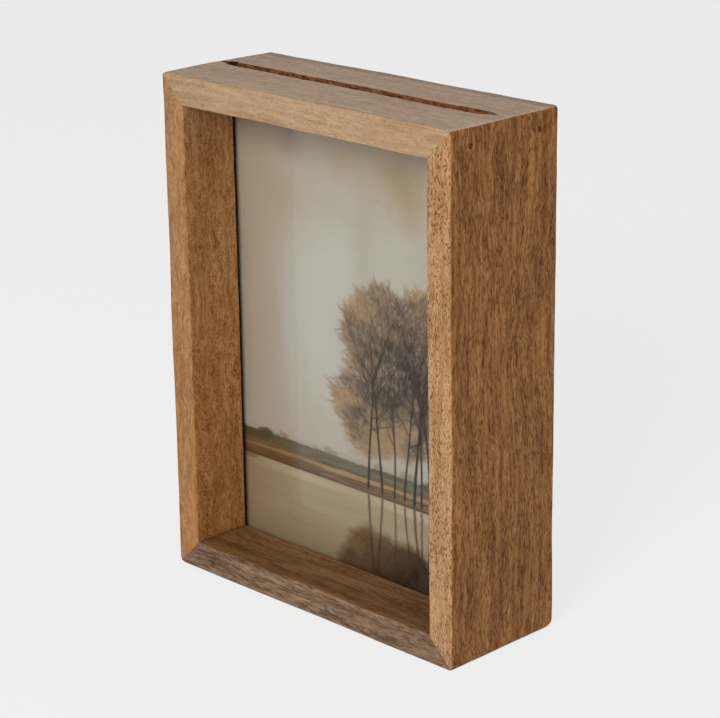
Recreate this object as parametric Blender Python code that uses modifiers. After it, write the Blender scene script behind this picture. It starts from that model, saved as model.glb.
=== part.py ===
"""A deep, free-standing wooden picture frame that is loaded through a slot in its top rail.

Run it with: blender --background --python part.py, or from Blender's text editor.

Four boards, mitred at the corners and pinned with brads, make the frame. A groove half-way
through their depth holds two sheets of glass with a 5 x 7 inch print between them. The slot
in the top rail is long and wide enough for all three, so each of them lifts out on its own.

Units are metres, +Z is up and the front faces -Y. The origin is the centre of the footprint,
on the surface that the frame stands on.
"""

import math

import bmesh
import bpy

# Driving dimensions: the outer size, and the thickness of the boards seen from the front.
WIDTH = 0.144
HEIGHT = 0.192
DEPTH = 0.053
BOARD = 0.011

# A 5 x 7 inch print, and the glass that is cut to the same size.
SHEET_WIDTH = 0.127
SHEET_HEIGHT = 0.1778
PRINT_THICKNESS = 0.0003
GLASS_THICKNESS = 0.002
GLASS_ARRIS = 0.0003

# Pieces that touch keep this gap, so that their solids never share space.
GAP = 0.0003
SIDE_PLAY = 0.0005

# The groove that runs round inside the frame. Depths run back from the front face.
GROOVE_FRONT = 0.0232
GROOVE_BACK = 0.0306
GROOVE_INTO_BOTTOM = 0.0035
GROOVE_INTO_TOP = 0.005

# The loading slot, cut by hand through the top rail after the frame was glued up.
SLOT_FRONT = 0.0247
SLOT_BACK = 0.0302
RUN_OUT_LENGTH = 0.005
RUN_OUT_INSIDE = 0.0001

# Sanded edges. The bottom corners are worn rounder than the top ones.
TOP_CORNER_RADIUS = 0.0014
BOTTOM_CORNER_RADIUS = 0.003
CORNER_STEPS = 6
EASED_EDGE = 0.0007
EASED_STEPS = 3
SHARP_ANGLE = math.radians(60)

# Brads: two at each corner, sunk below the surface and stopped with filler.
BRAD_LENGTH = 0.025
BRAD_SHANK_RADIUS = 0.0006
BRAD_HEAD_RADIUS = 0.0009
BRAD_HEAD_HEIGHT = 0.0006
BRAD_POINT = 0.0012
BRAD_SUNK = 0.0022
BRAD_FROM_CORNER = 0.0065
BRAD_FROM_FACE = 0.0095
FILLER_RADIUS = 0.0010
FILLER_BELOW_FACE = 0.0001
TURNED_STEPS = 16
MERGE = 0.00001

# Cutters, and the waste that they remove, run this far past the finished surface.
PAST = 0.004

INNER_WIDTH = WIDTH - 2 * BOARD
INNER_HEIGHT = HEIGHT - 2 * BOARD
INNER_TOP = HEIGHT - BOARD
GROOVE_WIDTH = SHEET_WIDTH + 2 * SIDE_PLAY
GROOVE_BOTTOM = BOARD - GROOVE_INTO_BOTTOM
GROOVE_TOP = INNER_TOP + GROOVE_INTO_TOP


def from_front(depth):
    """The Y of a point this far behind the front face."""
    return depth - DEPTH / 2


def clear_scene():
    for obj in list(bpy.data.objects):
        bpy.data.objects.remove(obj, do_unlink=True)


def new_collection(name):
    collection = bpy.data.collections.new(name)
    bpy.context.scene.collection.children.link(collection)
    return collection


def new_material(name, colour, roughness, metallic=0.0, alpha=1.0):
    material = bpy.data.materials.new(name)
    material.use_nodes = True
    shader = material.node_tree.nodes["Principled BSDF"]
    shader.inputs["Base Color"].default_value = (*colour, 1.0)
    shader.inputs["Roughness"].default_value = roughness
    shader.inputs["Metallic"].default_value = metallic
    shader.inputs["Alpha"].default_value = alpha
    return material


def put_in(obj, collection, name):
    """Names a new object and moves it into a collection."""
    obj.name = name
    for old in list(obj.users_collection):
        old.objects.unlink(obj)
    collection.objects.link(obj)
    return obj


def as_cutter(obj):
    """Cutters stay in the file for the Booleans that use them, but never render."""
    obj.hide_render = True
    obj.display_type = "WIRE"
    return obj


def add_box(name, size, foot, collection):
    """A box of this size, standing with the middle of its underside at the foot point."""
    bpy.ops.mesh.primitive_cube_add(size=1, location=foot)
    box = put_in(bpy.context.active_object, collection, name)
    for vertex in box.data.vertices:
        vertex.co.x *= size[0]
        vertex.co.y *= size[1]
        vertex.co.z = (vertex.co.z + 0.5) * size[2]
    return box


def add_box_behind(name, width, front, back, bottom, top, collection):
    """A box placed by its depths behind the frame's front face and its two heights."""
    size = (width, back - front, top - bottom)
    return add_box(name, size, (0, from_front((front + back) / 2), bottom), collection)


def add_turned(name, profile, place, collection):
    """A turned piece. Its profile lists (radius, distance below the head), and it is driven
    in at a place, given as a point on the surface and a turn for the axis."""
    points = [(radius, 0, -below) for radius, below in profile]
    edges = [(index, index + 1) for index in range(len(points) - 1)]
    mesh = bpy.data.meshes.new(name)
    mesh.from_pydata(points, edges, [])
    turned = bpy.data.objects.new(name, mesh)
    collection.objects.link(turned)
    turned.location, turned.rotation_euler = place
    screw = turned.modifiers.new("turn", "SCREW")
    screw.steps = TURNED_STEPS
    screw.render_steps = TURNED_STEPS
    screw.use_merge_vertices = True
    screw.merge_threshold = MERGE
    screw.use_smooth_shade = True
    return turned


def add_boolean(obj, cutter, operation="DIFFERENCE"):
    boolean = obj.modifiers.new(f"{operation.lower()}_{cutter.name}", "BOOLEAN")
    boolean.operation = operation
    boolean.object = cutter
    boolean.solver = "EXACT"


def add_bevel(obj, width, segments, limit, angle=SHARP_ANGLE):
    bevel = obj.modifiers.new(f"round_{limit.lower()}", "BEVEL")
    bevel.width = width
    bevel.segments = segments
    bevel.limit_method = limit
    bevel.angle_limit = angle


def mark_edges(obj, weight_of):
    """Gives every edge the bevel weight that weight_of works out from its two ends."""
    mesh = obj.data
    weights = mesh.attributes.new("bevel_weight_edge", "FLOAT", "EDGE")
    for edge in mesh.edges:
        first, second = (mesh.vertices[index].co for index in edge.vertices)
        weights.data[edge.index].value = weight_of(first, second)


def make_sanded_block():
    """The outside of the finished frame. Each board is trimmed to it, so that the rounding
    runs on from one board to the next across the mitre."""
    block = as_cutter(add_box("trim_outside", (WIDTH, DEPTH, HEIGHT), (0, 0, 0), cutters))

    def corner_weight(first, second):
        if abs(first.y - second.y) < DEPTH / 2:
            return 0.0
        return 1.0 if first.z < HEIGHT / 2 else TOP_CORNER_RADIUS / BOTTOM_CORNER_RADIUS

    mark_edges(block, corner_weight)
    add_bevel(block, BOTTOM_CORNER_RADIUS, CORNER_STEPS, "WEIGHT")
    add_bevel(block, EASED_EDGE, EASED_STEPS, "ANGLE")
    return block


def make_board(name, inner_length, inner_middle, turn, material):
    """One board, made lying along X with its inner face down, then turned to its side.

    Its ends are sawn at 45 degrees, a hair short of the mitre lines, and the two long edges
    round the opening are eased. Its outer face is left thick and is trimmed afterwards.
    """
    thick = BOARD + PAST
    board = add_box(name, (inner_length + 2 * thick, DEPTH + 2 * PAST, thick), inner_middle, parts)
    board.rotation_euler = (0, turn, 0)
    board.data.materials.append(material)
    short = GAP / 2 * math.sqrt(2)
    for vertex in board.data.vertices:
        saw = short if vertex.co.z > thick / 2 else short + thick
        vertex.co.x -= math.copysign(saw, vertex.co.x)
        vertex.co.y = math.copysign(DEPTH / 2, vertex.co.y)

    def rim_weight(first, second):
        along = abs(first.x - second.x) > inner_length / 2
        return 1.0 if along and max(first.z, second.z) < thick / 2 else 0.0

    mark_edges(board, rim_weight)
    add_bevel(board, EASED_EDGE, EASED_STEPS, "WEIGHT")
    add_boolean(board, sanded_block, "INTERSECT")
    add_boolean(board, groove)
    return board


def add_run_out():
    """The shallow, pointed over-run at the left end of the slot: half of a lying pyramid."""
    bpy.ops.mesh.primitive_cone_add(vertices=4, radius1=1, radius2=0, depth=1)
    run_out = as_cutter(put_in(bpy.context.active_object, cutters, "cut_run_out"))
    turn = math.radians(45)
    half_width = (SLOT_BACK - SLOT_FRONT) / 2 - RUN_OUT_INSIDE
    half_height = HEIGHT - GROOVE_TOP
    start = RUN_OUT_INSIDE - GROOVE_WIDTH / 2
    middle = from_front((SLOT_FRONT + SLOT_BACK) / 2)
    for vertex in run_out.data.vertices:
        across = vertex.co.x * math.cos(turn) - vertex.co.y * math.sin(turn)
        upward = vertex.co.x * math.sin(turn) + vertex.co.y * math.cos(turn)
        along = (vertex.co.z + 0.5) * RUN_OUT_LENGTH
        vertex.co.x = start - along
        vertex.co.y = middle + across * math.sqrt(2) * half_width
        vertex.co.z = HEIGHT + upward * math.sqrt(2) * half_height
    shape = bmesh.new()
    shape.from_mesh(run_out.data)
    bmesh.ops.recalc_face_normals(shape, faces=shape.faces)
    shape.to_mesh(run_out.data)
    shape.free()
    return run_out


def make_sheet(name, front, thickness, material):
    """A flat sheet that stands on the bottom of the groove."""
    foot = (0, from_front(front + thickness / 2), GROOVE_BOTTOM + GAP)
    sheet = add_box(name, (SHEET_WIDTH, thickness, SHEET_HEIGHT), foot, parts)
    sheet.data.materials.append(material)
    return sheet


def brad_places():
    """Every brad's name, its point and turn, and the stile that it pins to a rail."""
    for stile, sign in (("left", -1), ("right", 1)):
        for face, behind in (("front", BRAD_FROM_FACE), ("back", DEPTH - BRAD_FROM_FACE)):
            y = from_front(behind)
            on_side = (sign * WIDTH / 2, y, HEIGHT - BRAD_FROM_CORNER)
            from_below = (sign * (WIDTH / 2 - BRAD_FROM_CORNER), y, 0)
            yield f"top_{stile}_{face}", (on_side, (0, sign * math.pi / 2, 0)), "top_rail", stile
            yield f"bottom_{stile}_{face}", (from_below, (math.pi, 0, 0)), "bottom_rail", stile


def pin_corner(name, place, boards):
    """Drills two boards, drives a brad into the hole, and stops the hole with filler."""
    neck = BRAD_SUNK + BRAD_HEAD_HEIGHT
    tip = BRAD_SUNK + BRAD_LENGTH
    wide, narrow = FILLER_RADIUS + GAP, BRAD_SHANK_RADIUS + GAP
    hole_profile = [
        (0, -PAST), (wide, -PAST), (wide, neck + GAP),
        (narrow, neck + GAP), (narrow, tip + GAP), (0, tip + GAP),
    ]
    hole = as_cutter(add_turned(f"drill_{name}", hole_profile, place, cutters))
    for board in boards:
        add_boolean(board, hole)
    brad_profile = [
        (0, BRAD_SUNK), (BRAD_HEAD_RADIUS, BRAD_SUNK), (BRAD_HEAD_RADIUS, neck),
        (BRAD_SHANK_RADIUS, neck), (BRAD_SHANK_RADIUS, tip - BRAD_POINT), (0, tip),
    ]
    brad = add_turned(f"brad_{name}", brad_profile, place, parts)
    brad.data.materials.append(brad_steel)
    bottom = BRAD_SUNK - GAP
    filler_profile = [
        (0, FILLER_BELOW_FACE), (FILLER_RADIUS, FILLER_BELOW_FACE),
        (FILLER_RADIUS, bottom), (0, bottom),
    ]
    filler = add_turned(f"filler_{name}", filler_profile, place, parts)
    filler.data.materials.append(filler_paste)


clear_scene()
parts = new_collection("slot_top_picture_frame")
cutters = new_collection("cutters")

wood_top = new_material("wood_top_rail", (0.36, 0.21, 0.11), 0.62)
wood_bottom = new_material("wood_bottom_rail", (0.27, 0.15, 0.08), 0.62)
wood_left = new_material("wood_left_stile", (0.33, 0.17, 0.08), 0.62)
wood_right = new_material("wood_right_stile", (0.38, 0.19, 0.09), 0.62)
front_pane = new_material("clear_front_glass", (0.90, 0.95, 0.93), 0.05, alpha=0.25)
back_pane = new_material("clear_back_glass", (0.88, 0.94, 0.92), 0.05, alpha=0.25)
print_paper = new_material("print_paper", (0.62, 0.60, 0.52), 0.7)
brad_steel = new_material("brad_steel", (0.45, 0.45, 0.46), 0.35, metallic=1.0)
filler_paste = new_material("wood_filler", (0.10, 0.055, 0.03), 0.8)

sanded_block = make_sanded_block()
groove = as_cutter(add_box_behind(
    "cut_groove", GROOVE_WIDTH, GROOVE_FRONT, GROOVE_BACK, GROOVE_BOTTOM, GROOVE_TOP, cutters,
))
slot = as_cutter(add_box_behind(
    "cut_slot", GROOVE_WIDTH, SLOT_FRONT, SLOT_BACK, GROOVE_TOP - PAST, HEIGHT + PAST, cutters,
))
run_out = add_run_out()

quarter = math.pi / 2
middle_height = HEIGHT / 2
right_edge = INNER_WIDTH / 2
top_rail = make_board("top_rail", INNER_WIDTH, (0, 0, INNER_TOP), 0, wood_top)
bottom_rail = make_board("bottom_rail", INNER_WIDTH, (0, 0, BOARD), 2 * quarter, wood_bottom)
left_stile = make_board("left_stile", INNER_HEIGHT, (-right_edge, 0, middle_height), -quarter, wood_left)
right_stile = make_board("right_stile", INNER_HEIGHT, (right_edge, 0, middle_height), quarter, wood_right)
add_boolean(top_rail, slot)
add_boolean(top_rail, run_out)

rails = {"top_rail": top_rail, "bottom_rail": bottom_rail}
stiles = {"left": left_stile, "right": right_stile}
for name, place, rail, stile in brad_places():
    pin_corner(name, place, (rails[rail], stiles[stile]))

front_glass_depth = SLOT_FRONT + GAP
print_depth = front_glass_depth + GLASS_THICKNESS + GAP
back_glass_depth = print_depth + PRINT_THICKNESS + GAP
front_glass = make_sheet("front_glass", front_glass_depth, GLASS_THICKNESS, front_pane)
print_sheet = make_sheet("print", print_depth, PRINT_THICKNESS, print_paper)
back_glass = make_sheet("back_glass", back_glass_depth, GLASS_THICKNESS, back_pane)
for pane in (front_glass, back_glass):
    add_bevel(pane, GLASS_ARRIS, 1, "ANGLE")
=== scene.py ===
"""The looks of a deep, hand-made picture frame that is loaded through a slot in its top rail.

Four boards of oiled hardwood with open pores, two panes of glass, a print of a misty lake, and the
stopped holes over the brads. Everything is in metres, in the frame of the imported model.
"""

import math
from functools import cache

import bpy
import numpy as np
from mathutils import Matrix, Vector, noise


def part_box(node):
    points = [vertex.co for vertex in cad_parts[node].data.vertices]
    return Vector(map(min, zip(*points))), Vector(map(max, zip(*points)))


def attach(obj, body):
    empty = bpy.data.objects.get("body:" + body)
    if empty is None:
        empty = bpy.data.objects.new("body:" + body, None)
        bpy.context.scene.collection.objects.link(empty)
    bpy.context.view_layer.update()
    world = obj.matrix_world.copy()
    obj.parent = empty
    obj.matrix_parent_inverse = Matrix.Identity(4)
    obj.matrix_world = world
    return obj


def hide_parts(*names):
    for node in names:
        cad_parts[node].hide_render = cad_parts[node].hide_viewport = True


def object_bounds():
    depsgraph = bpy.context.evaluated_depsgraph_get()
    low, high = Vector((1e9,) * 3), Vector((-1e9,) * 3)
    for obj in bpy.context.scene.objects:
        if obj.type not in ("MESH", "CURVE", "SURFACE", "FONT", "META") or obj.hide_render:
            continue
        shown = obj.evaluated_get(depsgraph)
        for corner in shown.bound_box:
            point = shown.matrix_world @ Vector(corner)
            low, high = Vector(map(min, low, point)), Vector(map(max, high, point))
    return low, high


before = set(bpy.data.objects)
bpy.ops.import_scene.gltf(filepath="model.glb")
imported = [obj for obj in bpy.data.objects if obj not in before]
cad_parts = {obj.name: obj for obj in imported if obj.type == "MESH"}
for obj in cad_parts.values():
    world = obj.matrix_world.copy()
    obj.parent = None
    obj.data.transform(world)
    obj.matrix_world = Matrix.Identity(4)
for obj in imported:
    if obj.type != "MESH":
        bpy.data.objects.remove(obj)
cad_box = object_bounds()

MM = 0.001

# The frame's main sizes, read from the model.
LOW, HIGH = cad_box
HALF_WIDTH = HIGH.x
HALF_DEPTH = HIGH.y
TOP = HIGH.z
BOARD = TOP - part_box("top_rail")[0].z
INNER_RIGHT = HALF_WIDTH - BOARD
INNER_TOP = TOP - BOARD
GLASS_LOW, GLASS_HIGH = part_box("front_glass")
BACK_GLASS_LOW, BACK_GLASS_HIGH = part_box("back_glass")
PRINT_LOW, PRINT_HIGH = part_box("print")

# Room in the groove round the sheets, and how the slot is cut.
GROOVE_LEAD = 1.0 * MM
GROOVE_TAIL = 0.7 * MM
GROOVE_SIDE = 0.5 * MM
GROOVE_BELOW = 0.3 * MM
GROOVE_ABOVE = 0.4 * MM
SLOT_ROOM = 0.3 * MM
SLOT_LEFT = GLASS_LOW.x - GROOVE_SIDE
SLOT_RIGHT = GLASS_HIGH.x + GROOVE_SIDE

# The holes over the brads, and the wax in them.
FILLER_RADIUS = 1.08 * MM
SHANK_HOLE = 0.8 * MM
DRILL_START = 3 * MM
DRILL_REACH = 28 * MM
HEAD_DEPTH = 3 * MM

# Wear: how round the sanded edges and corners are.
EDGE_ROUND = 0.85 * MM
INNER_EDGE_ROUND = 0.6 * MM
TOP_CORNER = 1.6 * MM
LEFT_FOOT = 4.8 * MM
RIGHT_FOOT = 2.2 * MM
BACK_FOOT = 4.4 * MM
MITRE_GAP = 0.02 * MM


# ---------------------------------------------------------------- tools for modelling

def deselect_all():
    """Leaves edit mode and drops the selection, because an operator acts on all of it."""
    if bpy.context.object and bpy.context.object.mode != "OBJECT":
        bpy.ops.object.mode_set(mode="OBJECT")
    bpy.ops.object.select_all(action="DESELECT")


def pick(obj):
    """Makes one object the only selected and the active one."""
    deselect_all()
    obj.select_set(True)
    bpy.context.view_layer.objects.active = obj


def add_box(name, low, high):
    """A box between two corners, with its place in its mesh."""
    deselect_all()
    low, high = Vector(low), Vector(high)
    bpy.ops.mesh.primitive_cube_add(size=1, location=(low + high) / 2, scale=high - low)
    box = bpy.context.object
    box.name = name
    bpy.ops.object.transform_apply(location=True, rotation=True, scale=True)
    return box


def copy_of(obj, name):
    """A copy of a piece, with its own mesh."""
    copy = obj.copy()
    copy.data = obj.data.copy()
    copy.name = name
    bpy.context.scene.collection.objects.link(copy)
    return copy


def saw(obj, point, outwards):
    """Saws the piece through along a plane, keeps the near side and closes the cut."""
    pick(obj)
    bpy.ops.object.mode_set(mode="EDIT")
    bpy.ops.mesh.select_all(action="SELECT")
    bpy.ops.mesh.bisect(plane_co=point, plane_no=outwards, use_fill=True, clear_outer=True)
    bpy.ops.object.mode_set(mode="OBJECT")


def score(obj, axis, places):
    """Adds a ring of edges round the whole piece at each place along an axis."""
    pick(obj)
    bpy.ops.object.mode_set(mode="EDIT")
    normal = Vector((0, 0, 0))
    normal[axis] = 1
    for place in places:
        bpy.ops.mesh.select_all(action="SELECT")
        bpy.ops.mesh.bisect(plane_co=normal * place, plane_no=normal)
    bpy.ops.object.mode_set(mode="OBJECT")


def round_edges(obj, wanted, radius, steps):
    """Rounds the edges that wanted(first end, second end) picks."""
    pick(obj)
    mesh = obj.data
    for part in (mesh.polygons, mesh.edges, mesh.vertices):
        part.foreach_set("select", [False] * len(part))
    for edge in mesh.edges:
        first, second = (mesh.vertices[index].co for index in edge.vertices)
        edge.select = wanted(first, second)
    # In vertex mode, every edge between two picked ends would be picked too.
    bpy.context.tool_settings.mesh_select_mode = (False, True, False)
    bpy.ops.object.mode_set(mode="EDIT")
    bpy.ops.mesh.bevel(offset=radius, segments=steps, profile=0.5, affect="EDGES")
    bpy.ops.object.mode_set(mode="OBJECT")


def cut_out(obj, cutter):
    """Cuts a shape out of the piece."""
    pick(obj)
    boolean = obj.modifiers.new("cut", "BOOLEAN")
    boolean.operation = "DIFFERENCE"
    boolean.solver = "EXACT"
    boolean.material_mode = "TRANSFER"
    boolean.object = cutter
    bpy.ops.object.modifier_apply(modifier=boolean.name)


def extent(obj, axis):
    """The lowest and the highest place of a piece along an axis."""
    places = [corner[axis] for corner in obj.bound_box]
    return min(places), max(places)


def steps_between(low, high, pitch):
    """Even steps between two places, about a pitch apart, without the ends."""
    count = max(1, round((high - low) / pitch))
    return [low + (high - low) * index / count for index in range(1, count)]


def throw_away(*objects):
    for obj in objects:
        bpy.data.objects.remove(obj, do_unlink=True)


def smooth_by_angle(obj, degrees=38):
    pick(obj)
    bpy.ops.object.shade_smooth_by_angle(angle=math.radians(degrees))


def finish_piece(obj, body, slot, *nodes):
    """Ties a finished piece to its body and hides the nodes that it stands for. The name of its finish is
    not used.
    """
    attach(obj, body)
    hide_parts(*nodes)


# ---------------------------------------------------------------- the four boards

def worn_radius(first, second):
    """How round an edge of the whole frame is, from its two ends."""
    low = max(first.z, second.z) < TOP / 2
    if abs(first.y - second.y) > HALF_DEPTH:
        if low:
            return LEFT_FOOT if first.x < 0 else RIGHT_FOOT
        return TOP_CORNER
    if low and min(first.y, second.y) > 0:
        return BACK_FOOT
    return EDGE_ROUND


def make_sanded_block():
    """The outside of the whole frame in one block, with worn corners and edges."""
    block = add_box("sanded_block", LOW, HIGH)
    mesh = block.data
    weights = mesh.attributes.new("bevel_weight_edge", "FLOAT", "EDGE")
    for edge in mesh.edges:
        first, second = (mesh.vertices[index].co for index in edge.vertices)
        weights.data[edge.index].value = worn_radius(first, second) / LEFT_FOOT
    pick(block)
    bevel = block.modifiers.new("worn", "BEVEL")
    bevel.limit_method = "WEIGHT"
    bevel.width = LEFT_FOOT
    bevel.segments = 6
    bpy.ops.object.modifier_apply(modifier=bevel.name)
    return block


# Without a seed, noise_vector is different in every session.
noise.seed_set(11)


def sanding(point):
    """How far hand sanding has moved a point: long soft waves, and short shallow ones."""
    long_wave = noise.noise_vector(point * 28) * 0.32 * MM
    short_wave = noise.noise_vector(point * 120 + Vector((7, 3, 5))) * 0.10 * MM
    return long_wave + short_wave


def sand(board):
    """Gives a board the slight waviness of a hand-sanded surface, and keeps it on its base."""
    for vertex in board.data.vertices:
        moved = vertex.co + sanding(vertex.co)
        vertex.co.x = min(max(moved.x, LOW.x), HIGH.x)
        vertex.co.y = min(max(moved.y, LOW.y), HIGH.y)
        vertex.co.z = max(moved.z, 0.0) if vertex.co.z > 0.5 * MM else vertex.co.z


def saw_board(name, block, outwards):
    """Saws one board out of the sanded block: along the opening, and at both mitres."""
    outwards = Vector(outwards)
    board = copy_of(block, name)
    middle = Vector((0, 0, TOP / 2))
    if outwards.z:
        reach = INNER_TOP - middle.z
        across = Vector((1, 0, 0))
        corner = INNER_RIGHT
    else:
        reach = INNER_RIGHT
        across = Vector((0, 0, 1))
        corner = INNER_TOP - middle.z
    saw(board, middle + outwards * reach, -outwards)
    for side in (-1, 1):
        inner_corner = middle + outwards * reach + across * side * corner
        mitre = (across * side - outwards).normalized()
        saw(board, inner_corner - mitre * MITRE_GAP, mitre)
    on_opening = (middle + outwards * reach).dot(outwards)

    def is_inner_rim(a, b):
        long = (a - b).length > 20 * MM
        inner = max(abs(a.dot(outwards) - on_opening), abs(b.dot(outwards) - on_opening)) < 0.01 * MM
        return long and inner and abs(a.y) > HALF_DEPTH - 0.01 * MM

    round_edges(board, is_inner_rim, INNER_EDGE_ROUND, 3)
    return board


def make_groove_cutter():
    """The groove round the opening, with a little play round the three sheets."""
    low = (SLOT_LEFT, GLASS_LOW.y - GROOVE_LEAD, GLASS_LOW.z - GROOVE_BELOW)
    high = (SLOT_RIGHT, BACK_GLASS_HIGH.y + GROOVE_TAIL, GLASS_HIGH.z + GROOVE_ABOVE)
    return add_box("groove_cutter", low, high)


def ragged(along, seed, size):
    """A rough wall's distance from its line: waves, chatter of the blade, and a few deep bites."""
    point = Vector((along * 160, seed, 0))
    wave = noise.noise(point)
    chatter = noise.noise(point * 5 + Vector((0, 3, 0)))
    bite = max(0.0, noise.noise(point * 1.7 + Vector((0, 9, 4))) - 0.28) * 2.6
    return size * (0.5 * wave + 0.35 * chatter + bite)


def make_slot_cutter():
    """The slot in the top rail, with torn walls, a pointed left end and a ragged right end."""
    front, back = GLASS_LOW.y - SLOT_ROOM, BACK_GLASS_HIGH.y + SLOT_ROOM
    bottom, top = GLASS_HIGH.z - 4 * MM, TOP + 4 * MM
    run_out, torn_end, fray = 6.8 * MM, 3.2 * MM, 2.5 * MM
    left_tip, right_tip = SLOT_LEFT - run_out, SLOT_RIGHT + torn_end
    cutter = add_box("slot_cutter", (left_tip, front, bottom), (right_tip, back, top))
    score(cutter, 0, steps_between(left_tip, right_tip, 0.8 * MM))
    score(cutter, 2, steps_between(GLASS_HIGH.z, TOP + 1.2 * MM, 1.2 * MM))
    middle = (front + back) / 2
    for vertex in cutter.data.vertices:
        x, y, z = vertex.co
        # The back wall is torn more than the front one.
        side, seed, size, tear_seed = (1, 2, 0.55 * MM, 1) if y > middle else (-1, 11, 0.22 * MM, 5)
        rough = max(ragged(x + 0.15 * z, seed, size), -0.1 * MM)
        torn = 0.25 * MM * noise.noise(Vector((x * 400, z * 700, tear_seed)))
        y += (rough + torn) * side
        past_left = max(0.0, SLOT_LEFT - x)
        if past_left:
            # The left end narrows to a point, and its floor climbs to the top of the rail.
            taper = max(0.04, 1 - past_left / run_out)
            y = middle + 0.6 * MM + (y - middle) * taper ** 0.9
            floor = bottom + (TOP - 0.4 * MM - bottom) * (past_left / run_out) ** 0.5
            vertex.co.z = floor + (top - floor) * (z - bottom) / (top - bottom)
        past_right = max(0.0, x - (SLOT_RIGHT - fray))
        if past_right:
            squeeze = min(0.9, 0.9 * (past_right / (fray + torn_end)) ** 0.7)
            y += (middle + 0.8 * MM - y) * squeeze
        vertex.co.y = y
    return cutter


def brad_holes():
    """The filler's name, the foot and the direction of each brad, from the model's fillers."""
    for name in sorted(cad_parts):
        if name.startswith("filler_"):
            low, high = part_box(name)
            middle = (low + high) / 2
            if "_top_" in name:
                side = 1 if middle.x > 0 else -1
                yield name, Vector((side * HALF_WIDTH, middle.y, middle.z)), Vector((-side, 0, 0))
            else:
                yield name, Vector((middle.x, middle.y, 0)), Vector((0, 0, 1))


def make_drill(foot, direction):
    """A stepped drill: wide where the filler and the head go, then as wide as the shank.

    The inner end is found right for the bottom corners only. At the top corners a side face is
    picked instead, so the shank's part of the drill is a thin sliver there.
    """
    deselect_all()
    turn = direction.to_track_quat("Z", "Y").to_euler()
    middle = foot + direction * (HEAD_DEPTH - DRILL_START) / 2
    bpy.ops.mesh.primitive_cylinder_add(
        vertices=24, radius=FILLER_RADIUS, depth=HEAD_DEPTH + DRILL_START, location=middle, rotation=turn,
    )
    drill = bpy.context.object
    bpy.ops.object.transform_apply(location=True, rotation=True, scale=True)
    mesh = drill.data
    mesh.polygons.foreach_set("select", [False] * len(mesh.polygons))
    end = max(mesh.polygons, key=lambda face: face.center.dot(direction) * len(face.vertices))
    end.select = True
    bpy.ops.object.mode_set(mode="EDIT")
    bpy.ops.mesh.select_mode(type="FACE")
    bpy.ops.mesh.inset(thickness=FILLER_RADIUS - SHANK_HOLE)
    further = direction * (DRILL_REACH - HEAD_DEPTH)
    bpy.ops.mesh.extrude_region_move(TRANSFORM_OT_translate={"value": further})
    bpy.ops.object.mode_set(mode="OBJECT")
    return drill


def finish_board(name, board):
    """Scores a board into small faces, so that it can be sanded, and ties it to its node."""
    long_axis, thick_axis = (0, 2) if name.endswith("rail") else (2, 0)
    spans = [extent(board, axis) for axis in range(3)]
    for axis, pitch in ((long_axis, 2.6 * MM), (1, 3.1 * MM), (thick_axis, 2.6 * MM)):
        score(board, axis, steps_between(*spans[axis], pitch))
    sand(board)
    smooth_by_angle(board)
    finish_piece(board, "frame", f"wood_{name}", name)


def make_boards():
    """The four boards, with the groove, the slot and the brad holes cut in them."""
    block = make_sanded_block()
    groove = make_groove_cutter()
    slot = make_slot_cutter()
    for cutter in (groove, slot):
        cutter.data.materials.append(raw_wood())
    sides = {
        "top_rail": (0, 0, 1), "bottom_rail": (0, 0, -1),
        "left_stile": (-1, 0, 0), "right_stile": (1, 0, 0),
    }
    finishes = wood_finishes()
    boards = {}
    for name, outwards in sides.items():
        board = saw_board(f"{name}_wood", block, outwards)
        board.data.materials.append(finishes[name])
        cut_out(board, groove)
        boards[name] = board
    cut_out(boards["top_rail"], slot)
    for name, foot, direction in brad_holes():
        drill = make_drill(foot, direction)
        drill.data.materials.append(raw_wood())
        rail = "top_rail" if "_top_" in name else "bottom_rail"
        stile = "left_stile" if "_left_" in name else "right_stile"
        cut_out(boards[rail], drill)
        cut_out(boards[stile], drill)
        throw_away(drill)
    for name, board in boards.items():
        finish_board(name, board)
    throw_away(block, groove, slot)


def make_fillers():
    """The stopped holes: dabs of dark wax, pressed in a little below the wood.

    The outer end is found right, and so dished, for the bottom corners only. At the top corners a
    side face inside the hole is picked instead, and the dab's outer end stays nearly flat.
    """
    for name, foot, direction in brad_holes():
        deselect_all()
        turn = direction.to_track_quat("Z", "Y").to_euler()
        bpy.ops.mesh.primitive_cylinder_add(
            vertices=20, radius=FILLER_RADIUS - 0.03 * MM, depth=1.7 * MM,
            location=foot + direction * 1.05 * MM, rotation=turn,
        )
        plug = bpy.context.object
        plug.name = f"{name}_wax"
        bpy.ops.object.transform_apply(location=True, rotation=True, scale=True)
        mesh = plug.data
        outer = min(mesh.polygons, key=lambda face: face.center.dot(direction) / len(face.vertices) ** 9)
        mesh.polygons.foreach_set("select", [False] * len(mesh.polygons))
        outer.select = True
        bpy.ops.object.mode_set(mode="EDIT")
        bpy.ops.mesh.select_mode(type="FACE")
        for _ in range(3):
            bpy.ops.mesh.inset(thickness=0.26 * MM)
        bpy.ops.object.mode_set(mode="OBJECT")
        for vertex in mesh.vertices:
            depth = (vertex.co - foot).dot(direction)
            arm = vertex.co - foot - direction * depth
            worn = noise.noise(vertex.co * 1900 + Vector((len(name), 0, 0)))
            if depth < 0.5 * MM:
                dish = 0.16 * MM * (1 - arm.length / FILLER_RADIUS)
                vertex.co += direction * (dish + 0.09 * MM * worn)
                vertex.co -= arm * max(0.0, 0.22 * worn)
        smooth_by_angle(plug, 50)
        mesh.materials.append(wax_finish())
        finish_piece(plug, "frame", "wood_filler", name)


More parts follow.
